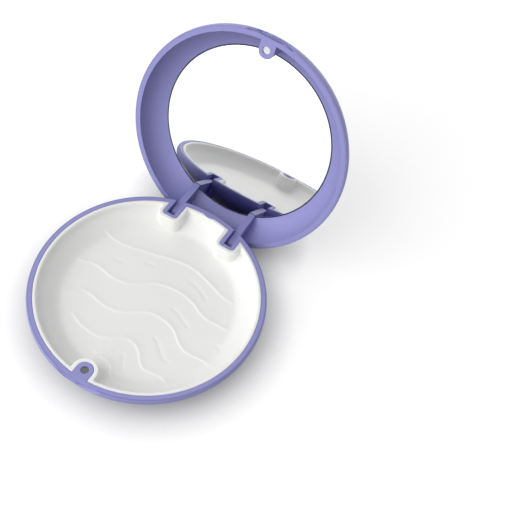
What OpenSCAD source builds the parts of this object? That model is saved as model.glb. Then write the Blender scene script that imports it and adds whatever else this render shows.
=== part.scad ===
// Round hinged travel case for a denture or an aligner: a base with a snap-in tray liner,
// and a double-walled lid with a mirror, on two arms that turn on pins in the base's pockets.
// The case is drawn open, as it stands on a table with the back of the lid just off the surface.
// Origin: centre of the flat bottom. Z is up, the finger notch faces -Y and the hinge is at +Y.
// The lid's parts are drawn closed, and lid_pose turns them open about the hinge.

/* [Overall size] */
// outer diameter of the base at its rim
case_d = 80; // [66:0.5:100]
// height of the base from its flat bottom to its rim
base_h = 11.2; // [9.5:0.1:14]
// height of the lid above its rim
lid_h = 15.5; // [14:0.1:18]
// distance of the flat bottom's edge from the outside of the rim
foot_inset = 15; // [11:0.5:19]
// angle by which the lid is open where its arms reach their stop
open_angle = 110; // [95:1:112]

/* [Base shell] */
// thickness of the base's side wall, which is also the width of its rim
shell_t = 1.7; // [1.4:0.1:2.2]
// thickness of the base's bottom
floor_t = 1.8; // [1.4:0.1:2.4]
// radius of the inner round from the rim's wall down into the flank
rim_round = 5; // [4:0.1:6]
// height of the straight land at the top of the base's wall
rim_land = 0.4; // [0.2:0.1:0.8]
// angle that the flank bulges beyond a straight cone
flank_bulge_a = 6.6; // [3:0.1:10]
// how far the base's widest ring stands out past its nominal radius
base_bulge = 0.35; // [0.2:0.05:0.4]
// radius of the outer round that carries this ring and runs down into the flank
side_round = 2.5; // [2.4:0.1:3]

/* [Tray liner] */
// thickness of the liner's wall
liner_t = 1.2; // [0.9:0.1:1.6]
// thickness of the liner's floor
liner_floor_t = 1.2; // [1:0.1:1.6]
// depth of the tray's floor below the base's rim
tray_depth = 6.4; // [5.8:0.1:7]

/* [Lid] */
// thickness of the lid's outer shell
lid_t = 1.3; // [1.1:0.1:1.5]
// how far the lid's widest ring stands out past the base's rim
lid_bulge = 0.35; // [0.2:0.05:0.6]
// height of the lid's widest ring above its rim
lid_bulge_z = 1.3; // [1:0.1:2]
// radius of the round from the lid's rim into its flank
lid_round = 4.5; // [4:0.1:5.5]
// slope of the lid's flank where it leaves that round
lid_flank_a = 20; // [15:1:23]
// radius of the arc that the flank follows
lid_flank_r = 40; // [34:1:60]
// radius of the shoulder between the flank and the top
shoulder_r = 9; // [7.5:0.5:10]
// slope of the lid's top where it meets the shoulder
crown_a = 4; // [2:0.5:6]
// thickness of the shell's lip outside the frame's flange
lip_t = 0.8; // [0.6:0.1:0.9]
// height of the frame's flange
flange_h = 2.6; // [2.2:0.1:3]
// width of the lid's whole rim, shell lip and frame flange together
lid_rim_w = 2; // [1.8:0.1:2.4]
// thickness of the frame's wall and of the plate behind the mirror
frame_t = 1.2; // [1:0.1:1.4]

/* [Mirror] */
// distance of the mirror's edge from the outside of the base's rim
mirror_inset = 7.8; // [7:0.1:10]
// depth of the mirror's face behind the lid's rim
mirror_depth = 8.7; // [7.5:0.1:9]
// width of the ledge round the mirror
mirror_ledge = 0.2; // [0.1:0.05:0.5]
// thickness of the mirror
mirror_t = 1; // [0.8:0.1:1.2]
// thickness of the double-sided tape behind the mirror
tape_t = 0.3; // [0.2:0.05:0.5]
// how far the tape stays inside the mirror's edge
tape_inset = 1.5; // [1:0.5:4]

/* [Hinge] */
// distance of the hinge axis from the outside of the base's rim
hinge_inset = 4.8; // [4.6:0.1:5.2]
// depth of the hinge axis below the base's rim
hinge_depth = 3.85; // [3.6:0.05:4]
// distance of each arm from the middle of the case
arm_x = 12; // [9:0.1:13]
// thickness of an arm
arm_t = 2.4; // [2:0.1:2.6]
// half the width of an arm, and the radius of its eye
arm_half_w = 2.2; // [1.9:0.1:2.4]
// space between an arm's tip and the mirror's face
arm_tip_gap = 0.15; // [0.1:0.05:0.4]
// radius of a hinge pin
pin_r = 0.75; // [0.6:0.05:0.9]
// thickness of a pocket's walls beside the arm
pocket_wall = 1.4; // [1.2:0.1:1.6]
// thickness of a pocket's end wall towards the middle of the tray
pocket_end_wall = 1; // [0.8:0.1:1.4]
// radius of a pocket's outer corners
pocket_round = 1.2; // [0.8:0.1:1.6]
// radius of the rounded lug under a pocket
lug_r = 4.2; // [3.9:0.1:4.6]

/* [Magnet catch] */
// distance of the magnets from the outside of the base's rim
magnet_inset = 4.6; // [4.2:0.1:5.2]
// radius of a magnet
magnet_r = 1.3; // [1:0.05:1.5]
// thickness of a magnet
magnet_t = 1.5; // [1:0.1:2]
// depth of a magnet's face below the tab's face
magnet_recess = 0.3; // [0.1:0.05:0.5]
// radius of the tab round a magnet
tab_r = 2.8; // [2.4:0.1:3.1]

/* [Finger notch] */
// width of the lip-shaped notch along the parting line
notch_w = 18; // [15:0.5:20]
// depth of the notch's lower curve below the base's rim
notch_low = 3.1; // [2:0.1:3.5]
// distance of each upper hump from the middle of the notch
hump_x = 3.6; // [3.2:0.1:3.9]
// height of the dip between the two humps above the lid's rim
notch_dip = 1.2; // [0.8:0.1:1.3]
// angle by which the back of the lower curve leans out
notch_tilt_a = 2; // [0:0.5:4]

/* [Liner catch] */
// width of the nib on the rear rim that holds the liner down
nib_w = 4.5; // [3:0.1:6]
// how far the nib reaches over the liner
nib_reach = 0.7; // [0.5:0.05:0.9]
// height of the nib
nib_h = 0.8; // [0.6:0.1:1]

/* [Clearances] */
// gap between the lid's rim and the base's rim when the case is closed
seam_gap = 0.25; // [0.2:0.05:0.4]
// gap between two pieces that are glued or snapped together
fit_gap = 0.1; // [0.05:0.01:0.15]
// gap between moving faces at the hinge
swing_gap = 0.3; // [0.25:0.05:0.4]
// radial gap between a hinge pin and an arm's eye
pin_gap = 0.05; // [0.02:0.01:0.1]
// how much a pin is thicker than its hole in the pocket walls
pin_press = 0.01; // [0.005:0.005:0.02]

/* [Hidden] */
$fn = 96;
over = 1;
case_r = case_d / 2;
foot_r = case_r - foot_inset;
lid_z = base_h + seam_gap;
hinge_y = case_r - hinge_inset;
hinge_z = base_h - hinge_depth;
magnet_y = case_r - magnet_inset;
tray_z = base_h - tray_depth;

// a hair off each flank and crown arc, so that it crosses its round instead of only touching it
cross_gap = 0.002;

// base profile: a rim round and a flatter flank arc that meets it and ends at the flat bottom
rim_cx = case_r - rim_round;
rim_cz = base_h - rim_land;
foot_dx = foot_r - rim_cx;
foot_dist = sqrt(foot_dx * foot_dx + rim_cz * rim_cz);
flank_a = -atan2(-rim_cz, foot_dx) - acos(rim_round / foot_dist) - flank_bulge_a;
foot_along = foot_dx * cos(flank_a) + rim_cz * sin(flank_a);
flank_top = foot_dist * foot_dist - 2 * rim_round * foot_along + rim_round * rim_round;
flank_r = flank_top / (2 * (rim_round - foot_along));
flank_cx = rim_cx - (flank_r - rim_round) * cos(flank_a);
flank_cz = rim_cz + (flank_r - rim_round) * sin(flank_a);
side_cx = case_r + base_bulge - side_round;
side_reach = flank_r - side_round;
side_cz = flank_cz - sqrt(side_reach * side_reach - (side_cx - flank_cx) * (side_cx - flank_cx));
side_a = asin((flank_cz - side_cz) / side_reach);

// lid profile: a rim round, a flank arc, a round shoulder and a shallow crown, each touching the next
lid_r = case_r + lid_bulge;
lid_round_cx = lid_r - lid_round;
lid_flank_cx = lid_round_cx - (lid_flank_r - lid_round) * cos(lid_flank_a);
lid_flank_cz = lid_bulge_z - (lid_flank_r - lid_round) * sin(lid_flank_a);
crown_k = tan(crown_a / 2);
shoulder_up = lid_h - shoulder_r - lid_flank_cz - crown_k * lid_flank_cx;
shoulder_a = asin(shoulder_up / (lid_flank_r - shoulder_r) * cos(crown_a / 2)) - crown_a / 2;
shoulder_cx = lid_flank_cx + (lid_flank_r - shoulder_r) * cos(shoulder_a);
shoulder_cz = lid_flank_cz + (lid_flank_r - shoulder_r) * sin(shoulder_a);
crown_r = shoulder_r + shoulder_cx / sin(crown_a);
crown_cz = shoulder_cz - (crown_r - shoulder_r) * cos(crown_a);
lid_rim_r = lid_round_cx + sqrt(lid_round * lid_round - lid_bulge_z * lid_bulge_z);

// lid frame: a bowl arc from the rim to the mirror's edge
frame_rim_r = lid_rim_r - lid_rim_w;
mirror_open_r = case_r - mirror_inset;
bowl_in = frame_rim_r - mirror_open_r;
bowl_r = (bowl_in * bowl_in + mirror_depth * mirror_depth) / (2 * bowl_in);
bowl_cx = frame_rim_r - bowl_r;
seat_r = mirror_open_r - mirror_ledge;
seat_z = mirror_depth + mirror_t + tape_t;
plate_z = seat_z + frame_t;
flange_r = lid_rim_r - lip_t - fit_gap;

// hinge
arm_tip_z = lid_z + mirror_depth - arm_tip_gap;
arm_len = (arm_tip_z - hinge_z) / sin(open_angle) + arm_half_w;
slot_w = arm_t + 2 * swing_gap;
pocket_w = slot_w + 2 * pocket_wall;

// the slot reaches forward past an arm's front edge at the rim when the lid is shut
lean_a = open_angle - 90;
slot_reach = hinge_depth * tan(lean_a) + arm_half_w / cos(lean_a) + swing_gap;
pocket_y = hinge_y - slot_reach - pocket_end_wall;
slot_z = hinge_z - arm_half_w - swing_gap;
hole_from = arm_x - pocket_w / 2;
hole_to = arm_x + pocket_w;

// the lug under a pocket stays this far inside the rim, and a pin ends this far inside its hole
lug_inset = 0.2;
pin_end = 0.3;

// room under the lid's rear edge, which swings past the base's rim: a bar with a cone at each end
relief_r = norm([hinge_inset, hinge_depth]) + swing_gap;
relief_flat_x = 6;
relief_past = 1.5;
relief_end_x = sqrt(case_r * case_r - hinge_y * hinge_y) + relief_past;
relief_end_r = hinge_depth + seam_gap / 2;

// gap between a magnet and its hole
mate_gap = 0.02;

// finger notch
notch_half = notch_w / 2;
notch_y = sqrt(case_r * case_r - notch_half * notch_half);
low_r = (notch_half * notch_half + notch_low * notch_low) / (2 * notch_low);
hump_z = (notch_half * notch_half - 2 * hump_x * notch_half - notch_dip * notch_dip) / (2 * notch_dip);
hump_r = norm([hump_x, notch_dip + hump_z]);

// liner catch
nib_r = (nib_w * nib_w / 4 + nib_reach * nib_reach) / (2 * nib_reach);
nib_y = case_r - shell_t - nib_reach + nib_r;

shell_color = [0.56, 0.54, 0.84];
liner_color = [0.94, 0.94, 0.92];
metal_color = [0.72, 0.72, 0.74];
mirror_color = [0.85, 0.88, 0.9];
tape_color = [0.25, 0.25, 0.27];

// outline of the base filled in, set in by inset, above the height bottom_z
module base_outline(inset, bottom_z) {
    intersection() {
        translate([0, bottom_z])
            square([case_r, base_h - bottom_z]);
        translate([flank_cx, flank_cz])
            circle(r = flank_r - inset - cross_gap);
        union() {
            polygon([
                [0, 0], [rim_cx + rim_cz / tan(flank_a), 0],
                [rim_cx, rim_cz], [rim_cx, base_h], [0, base_h]
            ]);
            translate([rim_cx, rim_cz])
                circle(r = rim_round - inset);
            translate([0, rim_cz])
                square([case_r - inset, rim_land]);
        }
    }
}

// outline of the base's outside, filled in
module base_outside() {
    intersection() {
        square([case_r + base_bulge, base_h]);
        translate([flank_cx, flank_cz])
            circle(r = flank_r - cross_gap);
        union() {
            polygon([
                [0, 0], [side_cx + side_cz / tan(side_a), 0],
                [side_cx, side_cz], [side_cx, base_h], [0, base_h]
            ]);
            translate([side_cx, side_cz])
                circle(r = side_round);
        }
    }
}

// outline of the lid filled in, set in by inset, with its rim at height 0
module lid_outline(inset) {
    intersection() {
        square([lid_r, lid_h]);
        translate([0, crown_cz])
            circle(r = crown_r - inset - cross_gap);
        translate([lid_flank_cx, lid_flank_cz])
            circle(r = lid_flank_r - inset - cross_gap);
        union() {
            polygon([
                [0, 0], [lid_round_cx, 0], [lid_round_cx, lid_bulge_z],
                [lid_round_cx, lid_bulge_z] + lid_h * [cos(lid_flank_a), sin(lid_flank_a)],
                [shoulder_cx, shoulder_cz] + lid_h * [cos(shoulder_a), sin(shoulder_a)],
                [shoulder_cx, shoulder_cz],
                [shoulder_cx, shoulder_cz] + lid_h * [sin(crown_a), cos(crown_a)],
                [0, shoulder_cz + lid_h]
            ]);
            translate([lid_round_cx, lid_bulge_z])
                circle(r = lid_round - inset);
            translate([shoulder_cx, shoulder_cz])
                circle(r = shoulder_r - inset);
        }
    }
}

// outline of the lid's frame filled in: what its outside would be without the bowl
module frame_outline() {
    intersection() {
        union() {
            lid_outline(lid_t + fit_gap);
            square([flange_r, flange_h]);
        }
        union() {
            translate([bowl_cx, 0])
                circle(r = bowl_r + frame_t);
            square([mirror_open_r + fit_gap + frame_t, plate_z]);
            square([flange_r, flange_h]);
        }
        square([lid_r, plate_z]);
    }
}

// the bowl in front of the mirror and the seat that the mirror lies in
module frame_hollow_outline() {
    intersection() {
        union() {
            translate([bowl_cx, 0])
                circle(r = bowl_r);
            translate([0, -over])
                square([bowl_cx, mirror_depth + over]);
        }
        translate([0, -over])
            square([frame_rim_r, mirror_depth + over]);
    }
    translate([0, mirror_depth])
        square([seat_r, seat_z - mirror_depth]);
}

// plan of one hinge pocket on the right, grown by grow, reaching out past the rim
module pocket_plan(grow) {
    corner = pocket_round + grow;
    half = pocket_w / 2 + grow;
    start = pocket_y - grow;
    translate([arm_x - half, start + corner])
        square([2 * half, case_r]);
    translate([arm_x - half + corner, start])
        square([2 * (half - corner), corner + over]);
    for (side = [-1, 1])
        translate([arm_x + side * (half - corner), start + corner])
            circle(r = corner);
}

// plan of the tab round the front magnet, grown by grow, reaching out past the rim
module tab_plan(grow) {
    translate([0, -magnet_y])
        circle(r = tab_r + grow);
    translate([-tab_r - grow, -case_r])
        square([2 * (tab_r + grow), case_r - magnet_y]);
}

// both sides of the hinge
module both_sides() {
    children();
    mirror([1, 0, 0])
        children();
}

// a shape drawn in Y and Z, made into a slab that reaches x_from to x_to
module slab_x(x_from, x_to) {
    translate([x_from, 0, 0])
        rotate([90, 0, 90])
            linear_extrude(x_to - x_from)
                children();
}

// a round bar along the hinge axis
module hinge_bar(radius, x_from, x_to) {
    translate([x_from, hinge_y, hinge_z])
        rotate([0, 90, 0])
            cylinder(r = radius, h = x_to - x_from);
}

// room for the base's rim, cut from the rear of the lid about the hinge axis
module rear_relief() {
    hinge_bar(relief_r, -relief_flat_x, relief_flat_x);
    both_sides()
        translate([relief_flat_x, hinge_y, hinge_z])
            rotate([0, 90, 0])
                cylinder(r1 = relief_r, r2 = relief_end_r, h = relief_end_x - relief_flat_x);
}

// turns the lid's parts from closed to open about the hinge
module lid_pose() {
    translate([0, hinge_y, hinge_z])
        rotate([-open_angle, 0, 0])
            translate([0, -hinge_y, -hinge_z])
                children();
}

// cut for the notch's upper lip: two humps above the lid's rim
module notch_upper_cut() {
    translate([0, -notch_y, lid_z])
        rotate([90, 0, 0])
            linear_extrude(case_r)
                intersection() {
                    union() {
                        for (side = [-1, 1])
                            translate([side * hump_x, -hump_z])
                                circle(r = hump_r);
                    }
                    translate([-notch_w, -over])
                        square([2 * notch_w, notch_low + over]);
                }
}

// cut for the notch's lower lip, whose back leans out and runs into the flank
module notch_lower_cut() {
    intersection() {
        translate([0, 0, base_h])
            rotate([90, 0, 0])
                linear_extrude(2 * case_r)
                    intersection() {
                        translate([0, low_r - notch_low])
                            circle(r = low_r);
                        translate([-notch_w, -notch_low])
                            square([2 * notch_w, notch_low + over]);
                    }
        translate([-notch_w, -notch_y, base_h])
            rotate([-notch_tilt_a, 0, 0])
                translate([0, -case_r, -case_r])
                    cube([2 * notch_w, case_r, 2 * case_r]);
    }
}

// one pocket on the right with the lug under it
module pocket_block() {
    intersection() {
        linear_extrude(base_h)
            pocket_plan(0);
        union() {
            rotate_extrude()
                base_outline(shell_t / 2, floor_t / 2);
            intersection() {
                hinge_bar(lug_r, 0, case_r);
                cylinder(r = case_r - lug_inset, h = base_h);
            }
        }
    }
}

module base_shell() {
    color(shell_color)
    difference() {
        union() {
            rotate_extrude()
                difference() {
                    base_outside();
                    base_outline(shell_t, floor_t);
                }
            both_sides()
                pocket_block();
            intersection() {
                linear_extrude(base_h)
                    tab_plan(0);
                rotate_extrude()
                    base_outline(shell_t / 2, floor_t / 2);
            }
            translate([0, 0, base_h - nib_h])
                linear_extrude(nib_h)
                    intersection() {
                        translate([0, nib_y])
                            circle(r = nib_r);
                        circle(r = case_r - shell_t / 2);
                    }
        }
        both_sides() {
            slab_x(arm_x - slot_w / 2, arm_x + slot_w / 2)
                translate([hinge_y - slot_reach, slot_z])
                    square([case_r, base_h]);
            hinge_bar(pin_r - pin_press, hole_from, hole_to);
        }
        translate([0, -magnet_y, base_h - magnet_recess - magnet_t - mate_gap])
            cylinder(r = magnet_r + mate_gap, h = base_h);
        notch_lower_cut();
    }
}

module tray_liner() {
    color(liner_color)
    difference() {
        union() {
            rotate_extrude()
                difference() {
                    base_outline(shell_t + fit_gap, tray_z - liner_floor_t);
                    base_outline(shell_t + fit_gap + liner_t, tray_z);
                }
            intersection() {
                rotate_extrude()
                    base_outline(shell_t + fit_gap, tray_z - liner_floor_t);
                linear_extrude(base_h)
                    union() {
                        both_sides()
                            pocket_plan(fit_gap + liner_t);
                        tab_plan(fit_gap + liner_t);
                    }
            }
        }
        linear_extrude(base_h + over)
            union() {
                both_sides()
                    pocket_plan(fit_gap);
                tab_plan(fit_gap);
            }
        translate([0, nib_y, base_h - nib_h - fit_gap])
            cylinder(r = nib_r + fit_gap, h = base_h);
    }
}

module base_magnet() {
    color(metal_color)
    translate([0, -magnet_y, base_h - magnet_recess - magnet_t])
        cylinder(r = magnet_r, h = magnet_t);
}

module lid_shell() {
    color(shell_color)
    lid_pose()
        difference() {
            translate([0, 0, lid_z])
                rotate_extrude()
                    difference() {
                        lid_outline(0);
                        lid_outline(lid_t);
                        translate([0, -over])
                            square([lid_rim_r - lip_t, flange_h + fit_gap + over]);
                    }
            rear_relief();
            notch_upper_cut();
        }
}

// one arm on the right: its eye, and a straight bar that runs past the mirror's face
module arm() {
    slab_x(arm_x - arm_t / 2, arm_x + arm_t / 2)
        translate([hinge_y, hinge_z])
            rotate(open_angle)
                union() {
                    circle(r = arm_half_w);
                    translate([0, -arm_half_w])
                        square([arm_len, 2 * arm_half_w]);
                }
}

module lid_frame() {
    color(shell_color)
    lid_pose()
        difference() {
            union() {
                difference() {
                    translate([0, 0, lid_z])
                        rotate_extrude()
                            difference() {
                                frame_outline();
                                frame_hollow_outline();
                            }
                    rear_relief();
                }
                intersection() {
                    translate([0, 0, lid_z])
                        linear_extrude(mirror_depth)
                            tab_plan(0);
                    translate([0, 0, lid_z])
                        rotate_extrude()
                            frame_outline();
                }
                intersection() {
                    both_sides()
                        arm();
                    union() {
                        translate([0, 0, lid_z])
                            rotate_extrude()
                                frame_outline();
                        cylinder(r = case_r, h = lid_z);
                    }
                    cylinder(r = case_r, h = arm_tip_z);
                }
            }
            both_sides()
                hinge_bar(pin_r + pin_gap, arm_x - arm_t, arm_x + arm_t);
            translate([0, -magnet_y, lid_z - over])
                cylinder(r = magnet_r + mate_gap, h = over + magnet_recess + magnet_t + mate_gap);
            notch_upper_cut();
        }
}

module mirror_disc() {
    color(mirror_color)
    lid_pose()
        translate([0, 0, lid_z + mirror_depth])
            cylinder(r = seat_r - fit_gap, h = mirror_t);
}

module mirror_tape() {
    color(tape_color)
    lid_pose()
        translate([0, 0, lid_z + mirror_depth + mirror_t])
            cylinder(r = seat_r - tape_inset, h = tape_t);
}

module lid_magnet() {
    color(metal_color)
    lid_pose()
        translate([0, -magnet_y, lid_z + magnet_recess])
            cylinder(r = magnet_r, h = magnet_t);
}

module hinge_pin_right() {
    color(metal_color)
    hinge_bar(pin_r, hole_from, arm_x + pocket_w / 2 - pin_end);
}

module hinge_pin_left() {
    mirror([1, 0, 0])
        hinge_pin_right();
}

base_shell();
tray_liner();
base_magnet();
lid_shell();
lid_frame();
mirror_disc();  // mirror
mirror_tape();
lid_magnet();
hinge_pin_left();
hinge_pin_right();
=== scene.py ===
"""Looks of the round travel case for a denture or an aligner.

Two moulded shells in a satin lavender plastic, a white snap-in tray liner, a round mirror in the
lid, and a pair of small magnets as the catch. Lengths are in millimetres, or in metres where a
name ends in _M or _m.
"""

import math

import bmesh
import bpy
import numpy as np
from mathutils import Matrix, Vector
from mathutils.geometry import delaunay_2d_cdt


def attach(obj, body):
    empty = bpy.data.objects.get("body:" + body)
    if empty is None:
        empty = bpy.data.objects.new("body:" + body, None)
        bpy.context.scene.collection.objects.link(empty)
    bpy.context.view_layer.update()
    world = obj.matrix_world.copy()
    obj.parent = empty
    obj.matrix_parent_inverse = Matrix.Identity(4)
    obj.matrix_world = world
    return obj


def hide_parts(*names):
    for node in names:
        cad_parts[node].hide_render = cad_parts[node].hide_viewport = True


MM = 0.001

# camera: turned right of the front, looking down, rolled, and aimed past the middle of the rim
PHOTO_SIDE = 512
SENSOR = 36.0
VIEW_TURN = math.radians(19.72)
VIEW_DOWN = math.radians(55.60)
VIEW_ROLL = math.radians(12.87)
VIEW_DISTANCE = 282.47
VIEW_ASIDE = 36.13
VIEW_ABOVE = 11.70
FOCAL_LENGTH_PX = 838.22
LENS = FOCAL_LENGTH_PX / PHOTO_SIDE * SENSOR
NEAREST_M, FARTHEST_M = 0.01, 20.0

# heights and radii shared by the pieces, as in the part's source
RIM_Z = 11.2
HINGE = Vector((0.0, 35.2, 7.35))
OPEN_TURN = math.radians(-110.0)
BASE_UP = Vector((0, 0, 1))
LID_UP = Vector((0, -math.sin(OPEN_TURN), math.cos(OPEN_TURN)))
LID_RIM_Z = 11.45

# the lid's seam: the walls where its two shells meet, where the seam shows, and its step
LIP_R, FLANGE_R, SEAM_R = 39.358, 39.258, 39.86
SEAM_GAP, SEAM_STEP = 0.02, 0.04
LIP_HEIGHT = 2.8
HEIGHT_SLACK, RADIUS_SLACK = 0.01, 0.02

# welding and shading of the moulded pieces: points closer than this are one, edges sharper than
# this stay crisp, faces this upright count as level, and how much the larger face decides
WELD_M = 0.000002
SHELL_CREASE, LINER_CREASE = math.radians(28), math.radians(40)
LEVEL = 0.99999
FLAT_WEIGHT = 100

# the liner: its hollow from the middle to the rim, as radius and height
HOLLOW = ((0, 4.8), (20, 4.8), (27, 4.8), (29, 4.83), (30, 4.95), (31, 5.3), (32, 5.85),
          (33, 6.5), (34, 7.15), (35, 7.85), (35.8, 8.5), (36.3, 9.1), (36.55, 9.7),
          (36.75, 10.3), (36.92, 10.8), (37.1, 11.04), (37.3, 11.15), (37.6, 11.2))
HOLLOW_STEPS = 8
LINER_R = 38.2
LINER_EDGE = 0.15
LEAST_WALL = 0.1
# its underside: the flat bottom, the flank arc and the round below the rim
UNDER_FLOOR_Z = 3.6
FLANK_X, FLANK_Z, FLANK_R = 2.06, 59.74, 62.193
ROUND_X, ROUND_Z, ROUND_R = 35.0, 10.8, 3.2
# the hinge pockets and the magnet's tab, which stand up through the liner, and the nib behind it
FIT_GAP = 0.1
POCKET_X, POCKET_HALF, POCKET_START, POCKET_ROUND = 12.0, 2.9, 30.157, 1.2
POCKET_END = 40.0
TAB_R, TAB_Y, TAB_END = 2.8, -35.4, -39.6
NIB_R, NIB_Y = 4.066, 41.566
# the white boss round each of them: its flat band, edge round, lean of its wall, round at its
# foot, and the most of its height that either round may take
BOSS_BAND = 1.55
BOSS_EDGE = 0.35
BOSS_LEAN = 0.3
BOSS_FOOT = 0.35
BOSS_ROUND_SHARE = 0.45

# where the liner's mesh has its points: outlines grown from the pockets and the tab, rings near
# the rim that are kept as edges, looser rings down the flank, and an even grid on the floor
BOSS_LINES = (0.1, 0.13, 0.18, 0.26, 0.7, 1.2, 1.3, 1.4, 1.48, 1.53, 1.55, 1.65, 1.75, 1.85,
              1.87, 1.91, 1.97, 2.06, 2.2, 2.7)
RIM_RINGS = (36.15, 36.3, 36.42, 36.55, 36.65, 36.75, 36.85, 36.92, 37.0, 37.1, 37.22, 37.35,
             37.6, 38.05, 38.1, 38.16)
RIM_RING_POINTS, FLANK_RING_POINTS, NIB_POINTS = 480, 330, 160
FLANK_RINGS = np.arange(26.6, 36.1, 0.62)
GRID_STEP, GRID_R, GRID_ACROSS, GRID_UP = 0.66, 26.3, 42, 48
GRID_ROW_RISE = math.sqrt(0.75)
LEG_STEP = 0.35
TAB_ARC_POINTS, CORNER_POINTS, FRONT_POINTS = 41, 15, 6
# how far outlines run past the rim, and how exactly the mesh keeps to them
PAST_RIM = 0.6
MERGE_DISTANCE = 1e-5
GAP_SLACK = 0.0005
NIB_SLACK = 0.9995

# ripples on the tray's floor, as points along each crest and groove
CRESTS = (
    ((-29.2, 14.7), (-26.4, 14.4), (-23.2, 14.0), (-19.1, 14.3), (-14.5, 15.5), (-9.5, 16.8),
     (-5.1, 18.1), (-0.9, 19.1), (3.4, 19.7), (7.9, 19.3), (12.2, 18.2), (16.8, 16.7),
     (20.6, 15.6), (26.3, 15.6)),
    ((-30.4, -0.2), (-28.0, 0.2), (-24.4, 1.6), (-21.1, 1.5), (-16.8, 0.8), (-13.2, 0.8),
     (-9.2, 1.8), (-6.3, 3.7), (-2.6, 6.6), (0.7, 8.0), (5.9, 8.8), (10.2, 8.5), (14.0, 7.4),
     (17.6, 5.7), (20.6, 5.1), (25.0, 5.2), (30.1, 5.1)),
    ((-28.1, -13.6), (-23.8, -12.4), (-21.1, -9.4), (-17.6, -9.0), (-13.9, -9.7), (-10.6, -10.0),
     (-7.3, -9.6), (-4.1, -8.3), (-1.0, -6.2), (2.6, -3.9), (5.8, -3.3), (9.4, -3.5),
     (12.5, -4.3), (15.0, -5.8), (17.8, -8.1), (20.6, -9.3), (23.3, -9.4), (26.0, -9.0),
     (28.5, -9.0), (30.8, -9.9)),
    ((-18.9, -18.9), (-16.8, -18.9), (-13.8, -20.2), (-11.0, -20.5), (-8.3, -20.8),
     (-5.4, -20.5), (-2.8, -19.3), (-0.4, -17.8), (2.1, -16.3), (4.4, -16.1), (7.0, -16.9),
     (9.2, -18.7), (11.0, -20.8), (13.1, -22.1), (16.0, -22.0), (19.1, -21.6), (21.6, -22.3),
     (22.9, -23.3)),
    ((-1.0, -26.5), (1.6, -26.3), (3.6, -27.1), (5.0, -28.4), (5.7, -29.7), (7.0, -30.5)),
    ((-3.4, -25.9), (-1.2, -24.3), (0.8, -22.2)),
)
GROOVES = (
    ((7.2, 14.7), (10.7, 14.1), (13.9, 12.8), (16.4, 11.2)),
    ((8.3, 2.0), (11.3, 1.4), (14.3, -0.1), (17.2, -1.1)),
    ((9.2, -10.6), (11.7, -11.7), (14.1, -13.7), (16.5, -15.5), (19.2, -15.8)),
    ((4.6, -21.3), (6.1, -23.5), (7.7, -26.3)),
    ((28.3, -1.6), (30.6, -2.6), (31.5, -5.3), (30.8, -8.0)),
    ((-9.6, 12.2), (-6.5, 13.1)),
    ((-19.2, 7.3), (-15.8, 8.2)),
)
RIPPLE_STEPS = 10
CREST_LINES = (0.0, 0.12, 0.25, 0.42, 0.7, 1.1)
GROOVE_LINES = (0.0, 0.3, 0.6, 1.0, 1.5)
# the ripples' sizes, the way that a crest's gentle side faces, and how their ends fade out:
# over a share of the length, by dipping this far below the floor
RIPPLE_SIZES = {"Crest height": 0.21, "Steep width": 0.42, "Gentle width": 1.6,
                "Groove depth": 0.12, "Groove width": 0.9}
GENTLE_SIDE = (0.35, 0.94, 0.0)
END_SHARE = 0.1
CREST_DIP, GROOVE_DIP = 1.2, 1.6

# colours, in linear light
BLACK, WHITE = (0.0, 0.0, 0.0), (1.0, 1.0, 1.0)
LAVENDER = (0.272, 0.27, 0.555)
# painted shade: the dark blue of the line round the base's rim edge
EDGE_SHADE_BLUE = (0.09, 0.1, 0.25)
LINER_WHITE = (0.83, 0.83, 0.81)
MIRROR_SILVER = (0.84, 0.843, 0.846)
# painted shade at the mirror's edge; also the mirror's plain dark for scattered light
MIRROR_SHADE_DARK = (0.012, 0.012, 0.05)
LID_MAGNET_GREY = (0.55, 0.55, 0.57)
BASE_MAGNET_GREY = (0.12, 0.125, 0.12)
STEEL_GREY = (0.5, 0.5, 0.51)
TAPE_GREY = (0.03, 0.03, 0.032)
FLOOR_LOW, FLOOR_HIGH, FLOOR_BOUNCE = (0.59,) * 3, (0.61,) * 3, (0.3,) * 3

# finishes: detail of the finest grain, and the rays that round off an edge
GRAIN_DETAIL, EDGE_RAYS = 3.0, 6

# painted shade round the base's rim: a dark line that stands in for the shading where the flat rim
# turns into the side;
# its radius and half width, how far down the side it runs, the height over which it fades, and its
# strength
EDGE_SHADE_R, EDGE_SHADE_HALF = 39.78, 0.3
EDGE_SHADE_DEPTH, EDGE_SHADE_FADE, EDGE_SHADE_STRENGTH = 0.3, 0.1, 0.5

# painted shade: a dark ring round the mirror's edge begins at this radius, and fades in over this
# width
MIRROR_SHADE_R, MIRROR_SHADE_FADE = 31.45, 0.12

# floor: half its side, the reach of the contact shadow, and its own glow near the case, more in
# the mirror and more far out
FLOOR_REACH_M = 3.0
CONTACT_REACH_M, CONTACT_FALL, CONTACT_RAYS = 0.015, 1.5, 8
FLOOR_GLOW, MIRRORED_GLOW, FAR_GLOW, FAR_START_M = 0.5, 0.2, 0.3, 0.5

# surround: the light that it gives, and how white it looks
SURROUND_LIGHT, SURROUND_WHITE = 0.6, 1.25

# lamps: name, place and aim and side of the square in metres, power in watts, and whether
# reflections show it
LAMPS = (
    ("key_lamp", (-0.45, -0.60, 0.72), (0, 0.01, 0.02), 0.9, 5.7, True),
    ("side_lamp", (-0.95, -0.05, 0.42), (0, 0.01, 0.02), 0.9, 2.5, True),
    ("low_lamp", (-0.25, -0.95, 0.16), (0, 0.03, 0.04), 0.3, 2.0, False),
)


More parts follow.
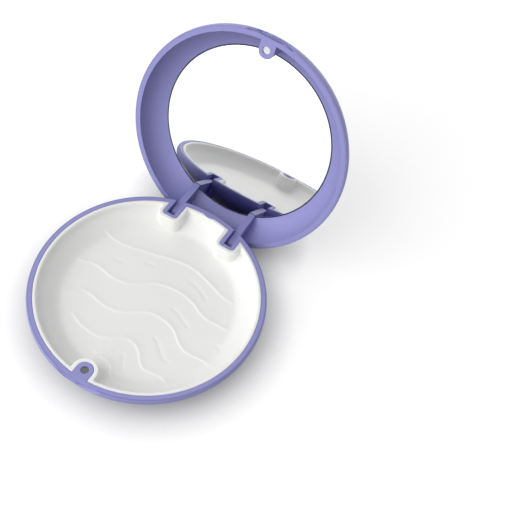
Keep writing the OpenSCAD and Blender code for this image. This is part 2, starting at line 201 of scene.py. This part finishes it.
class Socket:
    """One output in a node tree, which takes part in Python arithmetic."""

    def __init__(self, shader, link):
        self.shader = shader
        self.link = link

    def _math(self, operation, *values, **settings):
        settings["operation"] = operation
        return self.shader.node("ShaderNodeMath", settings, list(values))

    def __add__(self, other):
        return self._math("ADD", self, other)

    def __sub__(self, other):
        return self._math("SUBTRACT", self, other)

    def __rsub__(self, other):
        return self._math("SUBTRACT", other, self)

    def __mul__(self, other):
        return self._math("MULTIPLY", self, other)

    def __truediv__(self, other):
        return self._math("DIVIDE", self, other)

    def __rtruediv__(self, other):
        return self._math("DIVIDE", other, self)

    def __pow__(self, other):
        return self._math("POWER", self, other)

    __radd__ = __add__
    __rmul__ = __mul__

    def abs(self):
        return self._math("ABSOLUTE", self)

    def at_least(self, other):
        return self._math("MAXIMUM", self, other)

    def clamped(self):
        return self._math("ADD", self, 0.0, use_clamp=True)


class Shader:
    """A node tree for a material or a shape, built one node at a time."""

    def __init__(self, tree):
        self.tree = tree
        tree.nodes.clear()

    def node(self, kind, settings=None, values=None, out=0):
        """Adds a node, sets its settings, then its sockets by index or name, gives one output."""
        made = self.tree.nodes.new(kind)
        for name, value in (settings or {}).items():
            setattr(made, name, value)
        pairs = values.items() if isinstance(values, dict) else enumerate(values or [])
        for key, value in pairs:
            if isinstance(value, Socket):
                self.tree.links.new(value.link, made.inputs[key])
            elif value is not None:
                made.inputs[key].default_value = value
        return Socket(self, made.outputs[out])

    def vector(self, operation, *values, out=0):
        """One step of vector arithmetic."""
        return self.node("ShaderNodeVectorMath", {"operation": operation}, list(values), out)

    def length(self, vector):
        """The length of a vector."""
        return self.vector("LENGTH", vector, out="Value")

    def place(self, scale=1.0 / MM):
        """Where a point lies on the object, in millimetres, or in other units by scale."""
        spot = self.node("ShaderNodeTexCoord", out="Object")
        return self.node("ShaderNodeVectorMath", {"operation": "SCALE"}, {0: spot, "Scale": scale})

    def noise(self, where, size, detail=2.0, roughness=0.5):
        """Soft random variation from 0 to 1, in lumps about size long in the units of where."""
        values = {"Vector": where, "Scale": 1.0 / size, "Detail": detail, "Roughness": roughness}
        return self.node("ShaderNodeTexNoise", {"noise_dimensions": "3D"}, values)

    def tint(self, factor, low, high):
        """A colour between low and high."""
        settings = {"data_type": "RGBA", "clamp_factor": True}
        ends = [c if isinstance(c, Socket) else (*c, 1.0) for c in (low, high)]
        return self.node("ShaderNodeMix", settings, {0: factor, 6: ends[0], 7: ends[1]}, out=2)

    def bump(self, height, depth, normal=None):
        """Relief from a height of 0 to 1 that stands for depth metres."""
        values = {"Strength": 1.0, "Distance": depth, "Height": height, "Normal": normal}
        return self.node("ShaderNodeBump", None, values)

    def rounded_edges(self, radius):
        """The surface's own direction, with its sharp edges rounded off by radius metres."""
        return self.node("ShaderNodeBevel", {"samples": EDGE_RAYS}, {"Radius": radius})

    def light_path(self, out):
        """What is known of the ray that meets the surface."""
        return self.node("ShaderNodeLightPath", out=out)

    def first_mirror_image(self):
        """1 for a ray that comes straight from one mirror or gloss, and else 0."""
        once = (2.0 - self.light_path("Glossy Depth")).clamped()
        unscattered = (1.0 - self.light_path("Diffuse Depth")).clamped()
        return self.light_path("Is Glossy Ray") * once * unscattered

    def finish(self, surface, kind="ShaderNodeOutputMaterial"):
        """Connects the last shader to the output."""
        output = self.tree.nodes.new(kind)
        self.tree.links.new(surface.link, output.inputs["Surface"])


def new_material(name):
    """A material with an empty node tree, and the helper that fills it."""
    material = bpy.data.materials.new(name)
    material.use_nodes = True
    return material, Shader(material.node_tree)


def shade(colour, amount):
    """A colour made lighter or darker by a factor."""
    return tuple(min(1.0, part * amount) for part in colour)


def moulded_shell_plastic(name, shaded_edge_r=None):
    """Satin lavender plastic: a faint unevenness of the mould's polish, and a clear thin gloss.

    The last argument, if given, is the radius of a painted dark line of shade that runs round the
    base's rim edge.
    """
    cloud_size, grain_size, grain_mix = 14.0, 0.35, 0.6
    darker, lighter = 0.97, 1.03
    satin, cloud_rough, grain_rough = 0.42, 0.06, 0.04
    grain_depth_m, edge_round_m = 0.000006, 0.00018
    material, s = new_material(name)
    spot = s.place()
    cloud = s.noise(spot, size=cloud_size)
    grain = s.noise(spot, size=grain_size, detail=GRAIN_DETAIL, roughness=grain_mix)
    colour = s.tint(cloud, shade(LAVENDER, darker), shade(LAVENDER, lighter))
    # painted shade: a dark line round the rim's outer edge, where the flat rim turns down into the
    # side
    if shaded_edge_r:
        radius = s.length(s.vector("MULTIPLY", spot, (1, 1, 0)))
        height = s.node("ShaderNodeSeparateXYZ", None, [spot], out="Z")
        line = (1.0 - ((radius - shaded_edge_r) / EDGE_SHADE_HALF).abs()).clamped()
        line = line * ((height - (RIM_Z - EDGE_SHADE_DEPTH)) / EDGE_SHADE_FADE).clamped()
        colour = s.tint(line * EDGE_SHADE_STRENGTH, colour, EDGE_SHADE_BLUE)
    values = {
        "Base Color": colour,
        "Roughness": satin + cloud * cloud_rough + grain * grain_rough,
        "Normal": s.bump(grain, grain_depth_m, s.rounded_edges(edge_round_m)),
        "IOR": 1.4,
        "Specular IOR Level": 0.42,
        "Coat Weight": 0.08,
        "Coat Roughness": 0.3,
    }
    s.finish(s.node("ShaderNodeBsdfPrincipled", None, values))
    return material


def liner_plastic():
    """White liner plastic with a soft matte finish."""
    cloud_size, grain_size, grain_mix = 18.0, 0.4, 0.6
    darker = 0.985
    matte, grain_rough = 0.46, 0.06
    grain_depth_m, edge_round_m = 0.000006, 0.00025
    material, s = new_material("white_liner_plastic")
    spot = s.place()
    cloud = s.noise(spot, size=cloud_size)
    grain = s.noise(spot, size=grain_size, detail=GRAIN_DETAIL, roughness=grain_mix)
    values = {
        "Base Color": s.tint(cloud, shade(LINER_WHITE, darker), LINER_WHITE),
        "Roughness": matte + grain * grain_rough,
        "Normal": s.bump(grain, grain_depth_m, s.rounded_edges(edge_round_m)),
        "IOR": 1.46,
        "Subsurface Weight": 0.15,
        "Subsurface Radius": (0.0012, 0.0012, 0.0011),
        "Subsurface Scale": 1.0,
    }
    s.finish(s.node("ShaderNodeBsdfPrincipled", None, values))
    return material


def mirror_glass():
    """Silvered glass: a bright face, and a painted dark ring of shade round its edge."""
    smudge_size = 9.0
    polish, smudge_rough, shade_ring_rough = 0.012, 0.012, 0.2
    material, s = new_material("mirror_silver")
    spot = s.place()
    smudge = s.noise(spot, size=smudge_size, detail=GRAIN_DETAIL)
    from_middle = s.vector("SUBTRACT", spot, tuple(rest_place((0, 0, LID_RIM_Z))))
    radius = s.length(s.vector("CROSS_PRODUCT", from_middle, tuple(LID_UP)))
    # painted shade: past this radius the mirror turns dark, dull and not metallic, standing in for
    # the shade at its edge
    shade_ring = ((radius - MIRROR_SHADE_R) / MIRROR_SHADE_FADE).clamped()
    values = {
        "Base Color": s.tint(shade_ring, MIRROR_SILVER, MIRROR_SHADE_DARK),
        "Metallic": 1.0 - shade_ring,
        "Roughness": polish + smudge * smudge_rough + shade_ring * shade_ring_rough,
    }
    silver = s.node("ShaderNodeBsdfPrincipled", None, values)
    # seen by light that a matt surface has scattered, the mirror is plain and dark
    scattered = s.light_path("Diffuse Depth").clamped()
    plain = s.node("ShaderNodeBsdfDiffuse", None, {"Color": (*MIRROR_SHADE_DARK, 1.0)})
    s.finish(s.node("ShaderNodeMixShader", None, {0: scattered, 1: silver, 2: plain}))
    return material


def plain_metal(name, grey, roughness):
    """Plated metal with fine turning marks."""
    mark_size, mark_rough = 0.12, 0.1
    mark_depth_m, edge_round_m = 0.000004, 0.0001
    material, s = new_material(name)
    marks = s.noise(s.place(), size=mark_size, detail=GRAIN_DETAIL)
    values = {
        "Base Color": (*grey, 1.0),
        "Metallic": 1.0,
        "Roughness": roughness + marks * mark_rough,
        "Normal": s.bump(marks, mark_depth_m, s.rounded_edges(edge_round_m)),
    }
    s.finish(s.node("ShaderNodeBsdfPrincipled", None, values))
    return material


def tape_foam():
    """Dark foam of the tape behind the mirror."""
    cell_size, cell_mix, cell_depth_m = 0.2, 0.7, 0.00004
    matte, cell_rough = 0.85, 0.1
    material, s = new_material("tape_foam")
    cells = s.noise(s.place(), size=cell_size, detail=GRAIN_DETAIL, roughness=cell_mix)
    values = {
        "Base Color": (*TAPE_GREY, 1.0),
        "Roughness": matte + cells * cell_rough,
        "Normal": s.bump(cells, cell_depth_m),
    }
    s.finish(s.node("ShaderNodeBsdfPrincipled", None, values))
    return material


def pale_floor():
    """Pale paint, which glows for the camera and the mirror, with a painted contact shadow: less
    glow where the case stands close.
    """
    patch_size = 3.0
    material, s = new_material("pale_floor")
    pale = s.tint(s.noise(s.place(), size=patch_size), FLOOR_LOW, FLOOR_HIGH)
    # what the floor throws back onto the case is kept low, so that its hollows stay deep
    colour = s.tint(s.light_path("Is Diffuse Ray"), pale, FLOOR_BOUNCE)
    paint = s.node("ShaderNodeBsdfDiffuse", None, {"Color": colour})
    open_air = s.node("ShaderNodeAmbientOcclusion", {"samples": CONTACT_RAYS},
                      {"Distance": CONTACT_REACH_M}, out="AO")
    mirrored = s.first_mirror_image()
    far = (s.length(s.place(1.0)) - FAR_START_M).clamped()
    level = FLOOR_GLOW + mirrored * MIRRORED_GLOW + far * FAR_GLOW
    # painted contact shadow: the glow fades where the case is close by
    glow_colour = s.tint(level * open_air ** CONTACT_FALL, BLACK, WHITE)
    glow = s.node("ShaderNodeEmission", None, {"Color": glow_colour, "Strength": 1.0})
    bright = s.node("ShaderNodeAddShader", None, [paint, glow])
    seen = s.light_path("Is Camera Ray").at_least(mirrored)
    s.finish(s.node("ShaderNodeMixShader", None, {0: seen, 1: paint, 2: bright}))
    return material


def turned_about_hinge(spots, turn):
    """Points turned about the hinge's line, where a positive turn shuts the lid."""
    y, z = spots[:, 1] - HINGE.y, spots[:, 2] - HINGE.z
    c, s = math.cos(turn), math.sin(turn)
    return np.stack([spots[:, 0], HINGE.y + c * y - s * z, HINGE.z + s * y + c * z], axis=1)


def rest_place(spot):
    """Where a point of the shut lid lies when the lid is open."""
    return turned_about_hinge(np.array([spot], float), OPEN_TURN)[0]


def give(obj, material):
    """Puts one material on the whole object."""
    obj.data.materials.clear()
    obj.data.materials.append(material)


def add_object(name, data):
    """A new object in the scene."""
    obj = bpy.data.objects.new(name, data)
    bpy.context.scene.collection.objects.link(obj)
    return obj


def smooth(obj, angle):
    """Shades a mesh smooth except at edges sharper than angle."""
    obj.data.polygons.foreach_set("use_smooth", [True] * len(obj.data.polygons))
    obj.data.set_sharp_from_angle(angle=angle)


def crisp_flats(obj, up):
    """Keeps a crisp edge wherever a face that is level, seen along up, meets a sloping one."""
    form = bmesh.new()
    form.from_mesh(obj.data)
    for edge in form.edges:
        level = [abs(face.normal.dot(up)) > LEVEL for face in edge.link_faces]
        if any(level) and not all(level):
            edge.smooth = False
    form.to_mesh(obj.data)
    form.free()


def weigh_normals(obj):
    """Lets the large flat faces decide the shading where they run into a round."""
    modifier = obj.modifiers.new("normals", "WEIGHTED_NORMAL")
    modifier.keep_sharp = True
    modifier.weight = FLAT_WEIGHT
    weighed = obj.evaluated_get(bpy.context.evaluated_depsgraph_get())
    obj.data = bpy.data.meshes.new_from_object(weighed)
    obj.modifiers.clear()


def copy_of(node, name, body, up):
    """A welded, smooth-shaded copy of a shell's CAD node, which then stands for it."""
    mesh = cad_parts[node].data.copy()
    obj = add_object(name, mesh)
    form = bmesh.new()
    form.from_mesh(mesh)
    bmesh.ops.remove_doubles(form, verts=form.verts, dist=WELD_M)
    form.to_mesh(mesh)
    form.free()
    smooth(obj, SHELL_CREASE)
    crisp_flats(obj, up)
    weigh_normals(obj)
    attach(obj, body)
    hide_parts(node)
    return obj


def narrow_lip(obj, wall_r, edge_r, recess):
    """Moves a lid wall at wall_r out to edge_r, and sinks the rim outside it by recess."""
    spots = np.empty(len(obj.data.vertices) * 3)
    obj.data.vertices.foreach_get("co", spots)
    shut = turned_about_hinge(spots.reshape(-1, 3) / MM, -OPEN_TURN)
    radius = np.hypot(shut[:, 0], shut[:, 1])
    height = shut[:, 2] - LID_RIM_Z
    low = (height > -HEIGHT_SLACK) & (height < LIP_HEIGHT)
    wall = low & (np.abs(radius - wall_r) < RADIUS_SLACK)
    shut[wall, :2] *= (edge_r / radius[wall])[:, None]
    rim = (height < HEIGHT_SLACK) & (radius > wall_r - RADIUS_SLACK)
    shut[rim, 2] += recess
    spots = turned_about_hinge(shut, OPEN_TURN) * MM
    obj.data.vertices.foreach_set("co", spots.ravel())
    obj.data.update()


def curve_through(points, steps):
    """Points along a smooth curve through the given points, with steps pieces between two."""
    points = np.array(points, float)
    ends = np.vstack([2 * points[0] - points[1], points, 2 * points[-1] - points[-2]])
    line = []
    for before, start, end, after in zip(ends, ends[1:], ends[2:], ends[3:]):
        bend = 2 * before - 5 * start + 4 * end - after
        twist = 3 * start - before - 3 * end + after
        for t in np.arange(steps) / steps:
            line.append(0.5 * (2 * start + (end - before) * t + bend * t ** 2 + twist * t ** 3))
    return np.array(line + [points[-1]])


def beside(line, shift):
    """The line moved sideways by shift."""
    along = np.gradient(line, axis=0)
    along /= np.linalg.norm(along, axis=1, keepdims=True)
    return line + shift * np.stack([-along[:, 1], along[:, 0]], axis=1)


def from_middle(spots):
    """Each point's distance from the middle of the case, in plan."""
    return np.hypot(spots[:, 0], spots[:, 1])


def boss_distance(x, y):
    """Distance in plan to the nearest hinge pocket or the magnet's tab, negative inside it."""
    inner_x = abs(abs(x) - POCKET_X) - (POCKET_HALF - POCKET_ROUND)
    inner_y = POCKET_START + POCKET_ROUND - y
    outside = np.hypot(np.maximum(inner_x, 0), np.maximum(inner_y, 0))
    pocket = outside + np.minimum(np.maximum(inner_x, inner_y), 0) - POCKET_ROUND
    tab = np.hypot(x, np.maximum(y - TAB_Y, 0)) - TAB_R
    return np.minimum(pocket, tab)


def quarter_round(part):
    """The fall of a quarter round, from 0 where it starts to 1 where it is steepest."""
    return 1 - np.sqrt(1 - np.clip(part, 0, 1) ** 2)


def liner_top(x, y):
    """Height of the liner's upper face."""
    radius = np.hypot(x, y)
    hollow = curve_through(HOLLOW, HOLLOW_STEPS)
    dish = np.interp(radius, hollow[:, 0], hollow[:, 1])
    away = boss_distance(x, y)
    rise = RIM_Z - dish
    edge = np.minimum(BOSS_EDGE, BOSS_ROUND_SHARE * rise)
    foot = np.minimum(BOSS_FOOT, BOSS_ROUND_SHARE * rise)
    wall_end = BOSS_BAND + BOSS_LEAN
    falling = RIM_Z - edge * quarter_round((away - BOSS_BAND + BOSS_EDGE) / BOSS_EDGE)
    wall = RIM_Z - edge - (rise - edge - foot) * (away - BOSS_BAND) / BOSS_LEAN
    landing = dish + foot * quarter_round((wall_end + BOSS_FOOT - away) / BOSS_FOOT)
    z = np.select([away <= BOSS_BAND, away <= wall_end], [falling, wall], landing)
    z = z - LINER_EDGE * quarter_round((FIT_GAP + LINER_EDGE - away) / LINER_EDGE)
    rim = RIM_Z - LINER_EDGE * quarter_round((radius - LINER_R + LINER_EDGE) / LINER_EDGE)
    return np.minimum(z, rim)


def liner_under(x, y):
    """Height of the liner's lower face."""
    radius = np.hypot(x, y)
    flank = FLANK_Z - np.sqrt(FLANK_R ** 2 - (radius - FLANK_X) ** 2)
    low_round = ROUND_Z - np.sqrt(np.maximum(ROUND_R ** 2 - (radius - ROUND_X) ** 2, 0))
    side = np.where(radius > ROUND_X, np.maximum(flank, low_round), flank)
    return np.maximum(side, UNDER_FLOOR_Z)


def circle(radius, count, x=0.0, y=0.0):
    """Points on a circle in plan."""
    turn = np.linspace(0, 2 * math.pi, count, endpoint=False)
    return np.stack([x + radius * np.cos(turn), y + radius * np.sin(turn)], axis=1)


def boss_line(kind, away):
    """The outline of a pocket, or of the tab, grown by away, as a line open at the rim."""
    if kind == "tab":
        turn = np.linspace(0, math.pi, TAB_ARC_POINTS)
        arc = np.stack([np.cos(turn), np.sin(turn)], axis=1) * (TAB_R + away) + (0, TAB_Y)
        legs = np.arange(TAB_END, TAB_Y - 0.5 * LEG_STEP, LEG_STEP)
        right = np.stack([np.full_like(legs, TAB_R + away), legs], axis=1)
        return np.vstack([right, arc, (right * (-1, 1))[::-1]])
    half, corner = POCKET_HALF - POCKET_ROUND, POCKET_ROUND + away
    low = POCKET_START + POCKET_ROUND
    turn = np.linspace(0, math.pi / 2, CORNER_POINTS)
    arc = np.stack([half + corner * np.sin(turn), low - corner * np.cos(turn)], axis=1)
    legs = np.arange(low + LEG_STEP, POCKET_END, LEG_STEP)
    side = np.stack([np.full_like(legs, half + corner), legs], axis=1)
    middle = np.linspace(0, half, FRONT_POINTS)[:-1]
    front = np.stack([middle, np.full_like(middle, low - corner)], axis=1)
    right = np.vstack([front[1:], arc, side])
    left = (right * (-1, 1))[::-1]
    side_x = POCKET_X if kind == "right" else -POCKET_X
    return np.vstack([left, front[:1], right]) + (side_x, 0)


def liner_points():
    """The points of the liner's plan, and the edges between them that the mesh has to keep."""
    points, lines = [], []

    def add(new, closed=False, tied=True):
        first = sum(len(p) for p in points)
        points.append(new)
        if tied:
            lines.extend((first + i, first + i + 1) for i in range(len(new) - 1))
            if closed:
                lines.append((first + len(new) - 1, first))

    for radius in (LINER_R, *RIM_RINGS):
        add(circle(radius, RIM_RING_POINTS), closed=True)
    for radius in FLANK_RINGS:
        add(circle(radius, FLANK_RING_POINTS), tied=False)
    for kind in ("left", "right", "tab"):
        for away in BOSS_LINES:
            line = boss_line(kind, away)
            add(line[from_middle(line) < LINER_R + PAST_RIM])
    nib = circle(NIB_R, NIB_POINTS, 0, NIB_Y)
    add(nib[from_middle(nib) < LINER_R + PAST_RIM])
    across, up = np.meshgrid(np.arange(-GRID_ACROSS, GRID_ACROSS + 1),
                             np.arange(-GRID_UP, GRID_UP + 1))
    # every other row is moved by half a step, so that the triangles are even
    grid = np.stack([((across + 0.5 * (up % 2)) * GRID_STEP).ravel(),
                     (up * GRID_STEP * GRID_ROW_RISE).ravel()], axis=1)
    add(grid[from_middle(grid) < GRID_R], tied=False)
    for marks, shifts in ((CRESTS, CREST_LINES), (GROOVES, GROOVE_LINES)):
        for mark in marks:
            line = curve_through(mark, RIPPLE_STEPS)
            for shift in shifts:
                add(beside(line, shift), tied=False)
                if shift:
                    add(beside(line, -shift), tied=False)
    return np.vstack(points), lines


def liner_plan():
    """Triangles in plan for the liner: its points, and each triangle's three, anticlockwise."""
    points, lines = liner_points()
    found = delaunay_2d_cdt([Vector(p) for p in points], lines, [], 0, MERGE_DISTANCE)
    spots = np.array([(p.x, p.y) for p in found[0]])
    faces = np.array(found[2])
    middle = spots[faces].mean(axis=1)
    inside = from_middle(middle) < LINER_R
    inside &= boss_distance(middle[:, 0], middle[:, 1]) > FIT_GAP - GAP_SLACK
    inside &= np.hypot(middle[:, 0], middle[:, 1] - NIB_Y) > NIB_R * NIB_SLACK
    faces = faces[inside]
    a, b, c = spots[faces[:, 0]], spots[faces[:, 1]], spots[faces[:, 2]]
    turned = (b - a)[:, 0] * (c - a)[:, 1] - (b - a)[:, 1] * (c - a)[:, 0] < 0
    faces[turned] = faces[turned][:, ::-1]
    used, faces = np.unique(faces, return_inverse=True)
    return spots[used], faces.reshape(-1, 3)


def line_object(name, lines, dip):
    """Loose edges along smooth curves, whose ends dip away below the floor's level."""
    points, edges = [], []
    for mark in lines:
        line = curve_through(mark, RIPPLE_STEPS)
        share = np.linspace(0, 1, len(line))
        depth = dip * np.maximum(0, 1 - np.minimum(share, 1 - share) / END_SHARE) ** 2
        edges += [(len(points) + i, len(points) + i + 1) for i in range(len(line) - 1)]
        points += [(x * MM, y * MM, -d * MM) for (x, y), d in zip(line, depth)]
    mesh = bpy.data.meshes.new(name)
    mesh.from_pydata(points, edges, [])
    return add_object(name, mesh)


def ripple_tree():
    """Geometry nodes that raise crests and sink grooves along two sets of lines."""
    tree = bpy.data.node_groups.new("floor_ripples", "GeometryNodeTree")
    face = tree.interface
    inputs = [("Geometry", "Geometry"), ("Crest lines", "Object"), ("Groove lines", "Object")]
    inputs += [(name, "Float") for name in RIPPLE_SIZES] + [("Finish", "Material")]
    for name, kind in inputs:
        face.new_socket(name, in_out="INPUT", socket_type="NodeSocket" + kind)
    face.new_socket("Geometry", in_out="OUTPUT", socket_type="NodeSocketGeometry")
    t = Shader(tree)
    given = tree.nodes.new("NodeGroupInput")
    value = {socket.name: Socket(t, socket) for socket in given.outputs if socket.name}
    flat = t.vector("MULTIPLY", t.node("GeometryNodeInputPosition"), (1, 1, 0))

    def nearest(lines, out):
        shape = t.node("GeometryNodeObjectInfo", {"transform_space": "ORIGINAL"},
                       {"Object": value[lines]}, out="Geometry")
        return t.node("GeometryNodeProximity", {"target_element": "EDGES"},
                      {0: shape, "Sample Position": flat}, out=out)

    def hill(distance, half_width):
        return 1 / (1 + (distance / half_width) ** 2) ** 2

    # a crest falls steeply towards the front of the tray and gently towards its back
    gap = nearest("Crest lines", "Distance")
    away = t.vector("SUBTRACT", flat, nearest("Crest lines", "Position"))
    behind = t.vector("DOT_PRODUCT", t.vector("NORMALIZE", away), GENTLE_SIDE, out="Value")
    steep, gentle = value["Steep width"], value["Gentle width"]
    half_width = steep + (gentle - steep) * (0.5 + 0.5 * behind)
    upper = t.node("GeometryNodeInputNamedAttribute", {"data_type": "FLOAT"},
                   {"Name": "upper_face"})
    groove = value["Groove depth"] * hill(nearest("Groove lines", "Distance"),
                                          value["Groove width"])
    rise = (value["Crest height"] * hill(gap, half_width) - groove) * upper
    lift = t.node("ShaderNodeCombineXYZ", None, {"Z": rise})
    moved = t.node("GeometryNodeSetPosition", None, {"Geometry": value["Geometry"], "Offset": lift})
    real = t.node("GeometryNodeRealizeInstances", None, {0: moved})
    painted = t.node("GeometryNodeSetMaterial", None,
                     {"Geometry": real, "Material": value["Finish"]})
    output = tree.nodes.new("NodeGroupOutput")
    tree.links.new(painted.link, output.inputs["Geometry"])
    return tree


def liner_mesh():
    """The liner as a closed mesh: upper face, lower face and the walls between them."""
    spots, faces = liner_plan()
    x, y = spots[:, 0], spots[:, 1]
    top = np.stack([x, y, liner_top(x, y)], axis=1)
    under = np.stack([x, y, np.minimum(liner_under(x, y), top[:, 2] - LEAST_WALL)], axis=1)
    count = len(spots)
    sides = {}
    for face in faces:
        for a, b in zip(face, np.roll(face, -1)):
            sides[(a, b)] = True
    walls = [(b, a, a + count, b + count) for a, b in sides if (b, a) not in sides]
    every = faces.tolist() + (faces[:, ::-1] + count).tolist() + [tuple(map(int, w)) for w in walls]
    mesh = bpy.data.meshes.new("liner")
    mesh.from_pydata((np.vstack([top, under]) * MM).tolist(), [], every)
    upper = mesh.attributes.new("upper_face", "FLOAT", "POINT")
    upper.data.foreach_set("value", [1.0] * count + [0.0] * count)
    return mesh


def add_liner(finish):
    """The white tray liner: a smooth dish, bosses round the pockets and tab, a rippled floor."""
    obj = add_object("liner", liner_mesh())
    smooth(obj, LINER_CREASE)
    crests = line_object("crest_lines", CRESTS, CREST_DIP)
    grooves = line_object("groove_lines", GROOVES, GROOVE_DIP)
    modifier = obj.modifiers.new("ripples", "NODES")
    modifier.node_group = ripple_tree()
    given = {name: size * MM for name, size in RIPPLE_SIZES.items()}
    given.update({"Crest lines": crests, "Groove lines": grooves, "Finish": finish})
    for item in modifier.node_group.interface.items_tree:
        if item.in_out == "INPUT" and item.name in given:
            modifier[item.identifier] = given[item.name]
    seen = obj.evaluated_get(bpy.context.evaluated_depsgraph_get())
    shaped = bpy.data.meshes.new_from_object(seen)
    obj.modifiers.clear()
    obj.data = shaped
    for helper in (crests, grooves):
        bpy.data.objects.remove(helper)
    give(obj, finish)
    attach(obj, "base")
    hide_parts("tray_liner")


def add_camera():
    """The camera at the photograph's angle."""
    back = Vector((math.sin(VIEW_TURN) * math.cos(VIEW_DOWN),
                   -math.cos(VIEW_TURN) * math.cos(VIEW_DOWN),
                   math.sin(VIEW_DOWN)))
    level = Vector((math.cos(VIEW_TURN), math.sin(VIEW_TURN), 0.0))
    upward = back.cross(level)
    right = math.cos(VIEW_ROLL) * level + math.sin(VIEW_ROLL) * upward
    up = -math.sin(VIEW_ROLL) * level + math.cos(VIEW_ROLL) * upward
    aim = Vector((0, 0, RIM_Z)) + VIEW_ASIDE * right + VIEW_ABOVE * up
    lens = bpy.data.cameras.new("camera")
    lens.lens = LENS
    lens.sensor_width = SENSOR
    lens.clip_start = NEAREST_M
    lens.clip_end = FARTHEST_M
    camera = add_object("camera", lens)
    turn = Matrix((right, up, back)).transposed()
    place = (aim + VIEW_DISTANCE * back) * MM
    camera.matrix_world = Matrix.Translation(place) @ turn.to_4x4()
    bpy.context.scene.camera = camera


def add_floor():
    """A pale floor that runs far out."""
    corners = [(x * FLOOR_REACH_M, y * FLOOR_REACH_M, 0)
               for x, y in ((-1, -1), (1, -1), (1, 1), (-1, 1))]
    mesh = bpy.data.meshes.new("floor")
    mesh.from_pydata(corners, [], [(0, 1, 2, 3)])
    floor = add_object("floor", mesh)
    give(floor, pale_floor())


def add_lamp(name, place, aim, side, power, reflected):
    """A soft square studio lamp, which may be kept out of reflections."""
    lamp = bpy.data.lights.new(name, "AREA")
    lamp.shape = "SQUARE"
    lamp.size = side
    lamp.energy = power
    obj = add_object(name, lamp)
    obj.location = place
    obj.rotation_euler = (Vector(aim) - Vector(place)).to_track_quat("-Z", "Y").to_euler()
    obj.visible_glossy = reflected


def add_studio():
    """Soft light from the left and above, and an even white surround."""
    world = bpy.data.worlds.new("studio")
    bpy.context.scene.world = world
    world.use_nodes = True
    s = Shader(world.node_tree)
    seen = s.light_path("Is Camera Ray").at_least(s.first_mirror_image())
    seen = seen.at_least(s.light_path("Is Transmission Ray"))
    ambient, white = (
        s.node("ShaderNodeBackground", None, {"Color": (*WHITE, 1.0), "Strength": strength})
        for strength in (SURROUND_LIGHT, SURROUND_WHITE))
    surround = s.node("ShaderNodeMixShader", None, {0: seen, 1: ambient, 2: white})
    s.finish(surround, "ShaderNodeOutputWorld")
    for lamp in LAMPS:
        add_lamp(*lamp)


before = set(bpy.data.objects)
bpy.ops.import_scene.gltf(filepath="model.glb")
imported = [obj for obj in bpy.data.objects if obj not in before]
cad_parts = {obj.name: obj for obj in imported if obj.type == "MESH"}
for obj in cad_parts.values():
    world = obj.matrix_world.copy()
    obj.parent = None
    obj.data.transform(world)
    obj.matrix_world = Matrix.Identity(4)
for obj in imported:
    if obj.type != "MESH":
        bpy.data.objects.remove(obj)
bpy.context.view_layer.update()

shell_plastic = moulded_shell_plastic("lavender_satin_plastic")
# the base's plastic carries a painted dark line of shade round its rim edge
base_plastic_edge_shade = moulded_shell_plastic("lavender_satin_base_edge_shade", EDGE_SHADE_R)
steel = plain_metal("pin_steel", STEEL_GREY, roughness=0.25)
bright_nickel = plain_metal("bright_nickel", LID_MAGNET_GREY, roughness=0.3)
dark_nickel = plain_metal("dark_nickel", BASE_MAGNET_GREY, roughness=0.35)

give(copy_of("base_shell", "base_cup", "base", BASE_UP), base_plastic_edge_shade)
add_liner(liner_plastic())
lid_cover = copy_of("lid_shell", "lid_cover", "lid", LID_UP)
mirror_frame = copy_of("lid_frame", "mirror_frame", "lid", LID_UP)
narrow_lip(lid_cover, LIP_R, SEAM_R + SEAM_GAP, SEAM_STEP)
narrow_lip(mirror_frame, FLANGE_R, SEAM_R, 0.0)
give(lid_cover, shell_plastic)
give(mirror_frame, shell_plastic)
give(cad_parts["mirror"], mirror_glass())
give(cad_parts["mirror_tape"], tape_foam())
give(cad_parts["lid_magnet"], bright_nickel)
give(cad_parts["base_magnet"], dark_nickel)
give(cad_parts["hinge_pin_left"], steel)
give(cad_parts["hinge_pin_right"], steel)

add_floor()
add_studio()
add_camera()
bpy.context.scene.view_settings.view_transform = "Standard"
